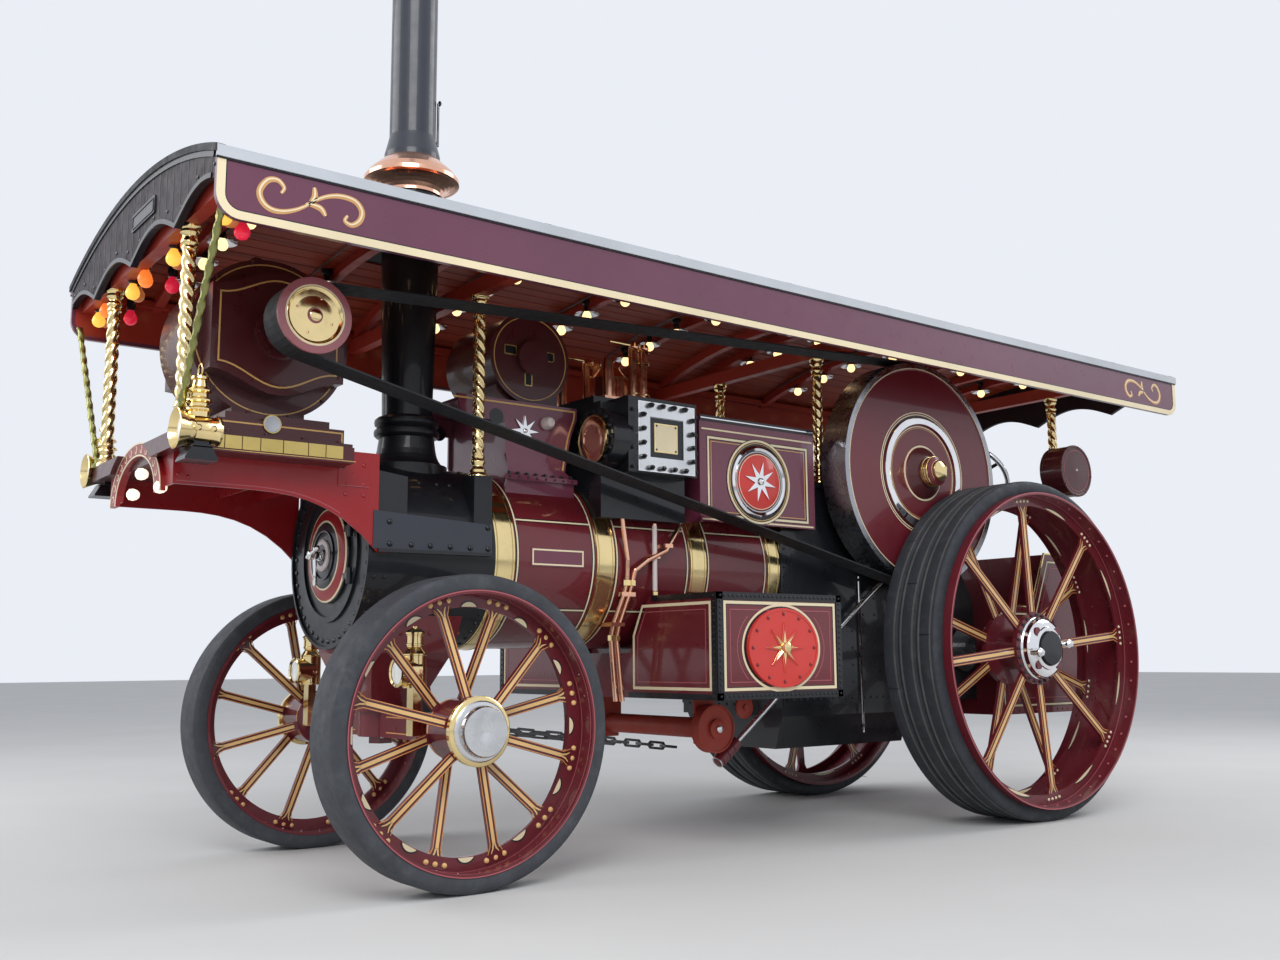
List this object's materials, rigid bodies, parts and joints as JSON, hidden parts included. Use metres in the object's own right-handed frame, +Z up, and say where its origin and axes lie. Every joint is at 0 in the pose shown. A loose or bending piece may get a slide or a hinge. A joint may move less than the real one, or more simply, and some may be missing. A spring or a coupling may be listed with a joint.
{
  "type": "steam traction engine",
  "caption": "Showman's road locomotive: boiler, belt-driven dynamo, full canopy on twisted pillars, spoked wheels on rubber tyres and chain steering.",
  "frame": {"origin": "middle of the bounding box, on the road", "axes": "+X forward, +Y to the engine's left, +Z up"},
  "size_m": [6.8, 2.35, 5.3],
  "materials": {
    "maroon_paint": "gloss",
    "red_paint": "gloss",
    "black_paint": "satin",
    "roof_paint": "satin",
    "board_paint": "gloss",
    "ceiling_wood": "varnished",
    "brass": "polished",
    "copper": "polished",
    "steel": "polished",
    "iron": "satin",
    "tyre": "matt",
    "belt": "matt"
  },
  "bodies": {
    "engine": {"boiler_barrel": "maroon_paint", "boiler_bands": "brass", "smokebox": "black_paint", "firebox": "black_paint", "hornplates": "black_paint", "chimney": "black_paint", "chimney_cap": "copper", "chimney_extension": "roof_paint", "dynamo_bracket": "red_paint", "dynamo_platform": "maroon_paint", "dynamo_base": "maroon_paint", "dynamo_frame": "maroon_paint", "front_lamps": "brass", "cylinder_block": "black_paint", "chest_covers": "steel", "steam_fittings": "copper", "side_pipes": "copper", "exciter_bracket": "maroon_paint", "exciter": "maroon_paint", "motion_panels": "maroon_paint", "motion_rods": "steel", "drive_belt": "belt", "belly_tank": "maroon_paint", "tank_discs": "red_paint", "steering_shaft": "steel", "chain_barrel": "red_paint", "tender": "maroon_paint", "rear_drum": "maroon_paint", "drawbar": "black_paint", "rear_axle": "steel", "perch_bracket": "maroon_paint", "canopy_roof": "roof_paint", "canopy_frame": "ceiling_wood", "side_boards": "board_paint", "end_boards": "black_paint", "front_pillars": "brass", "middle_pillars": "brass", "motion_pillars": "brass", "rear_pillars": "brass"},
    "axle": {"front_axle": "maroon_paint", "axle_lamps": "brass"},
    "front_left": {"front_wheel_left": "maroon_paint", "front_tyre_left": "tyre"},
    "front_right": {"front_wheel_right": "maroon_paint", "front_tyre_right": "tyre"},
    "rear_left": {"rear_wheel_left": "maroon_paint", "rear_tyre_left": "tyre"},
    "rear_right": {"rear_wheel_right": "maroon_paint", "rear_tyre_right": "tyre", "final_gear": "iron"},
    "crank": {"crankshaft": "steel", "flywheel": "maroon_paint"},
    "dynamo_rotor": {"dynamo_pulley": "steel"},
    "door": {"smokebox_door": "red_paint"},
    "chain_left": {"steering_chain_left": "iron"},
    "chain_right": {"steering_chain_right": "iron"}
  },
  "joints": [
    {"name": "steering", "type": "hinge", "parent": "engine", "child": "axle", "pos_m": [2.12, 0, 0.673], "axis": [0, 0, 1], "range_deg": [-28, 28]},
    {"name": "front_left_roll", "type": "hinge", "parent": "axle", "child": "front_left", "pos_m": [2.12, 0.837, 0.673], "axis": [0, 1, 0], "continuous": true},
    {"name": "front_right_roll", "type": "hinge", "parent": "axle", "child": "front_right", "pos_m": [2.12, -0.837, 0.673], "axis": [0, 1, 0], "continuous": true},
    {"name": "rear_left_roll", "type": "hinge", "parent": "engine", "child": "rear_left", "pos_m": [-1.695, 0.95, 1.02], "axis": [0, 1, 0], "continuous": true},
    {"name": "rear_right_roll", "type": "hinge", "parent": "engine", "child": "rear_right", "pos_m": [-1.695, -0.95, 1.02], "axis": [0, 1, 0], "continuous": true},
    {"name": "flywheel_spin", "type": "hinge", "parent": "engine", "child": "crank", "pos_m": [-1.125, 0.6, 2.092], "axis": [0, 1, 0], "continuous": true},
    {"name": "dynamo_spin", "type": "hinge", "parent": "engine", "child": "dynamo_rotor", "pos_m": [2.815, 0.62, 2.438], "axis": [0, 1, 0], "continuous": true},
    {"name": "smokebox_door_swing", "type": "hinge", "parent": "engine", "child": "door", "pos_m": [2.425, 0.262, 1.476], "axis": [0, 0, 1], "range_deg": [0, 90]},
    {"name": "chain_left_swing", "type": "hinge", "parent": "axle", "child": "chain_left", "pos_m": [2.025, 0.45, 0.673], "axis": [0, 0, 1], "range_deg": [-28, 28]},
    {"name": "chain_right_swing", "type": "hinge", "parent": "axle", "child": "chain_right", "pos_m": [2.025, -0.45, 0.673], "axis": [0, 0, 1], "range_deg": [-28, 28]}
  ],
  "couplings": [
    {"joint": "dynamo_spin", "follows": "flywheel_spin", "ratio": 4.4984},
    {"joint": "chain_left_swing", "follows": "steering", "ratio": -1},
    {"joint": "chain_right_swing", "follows": "steering", "ratio": -1}
  ]
}
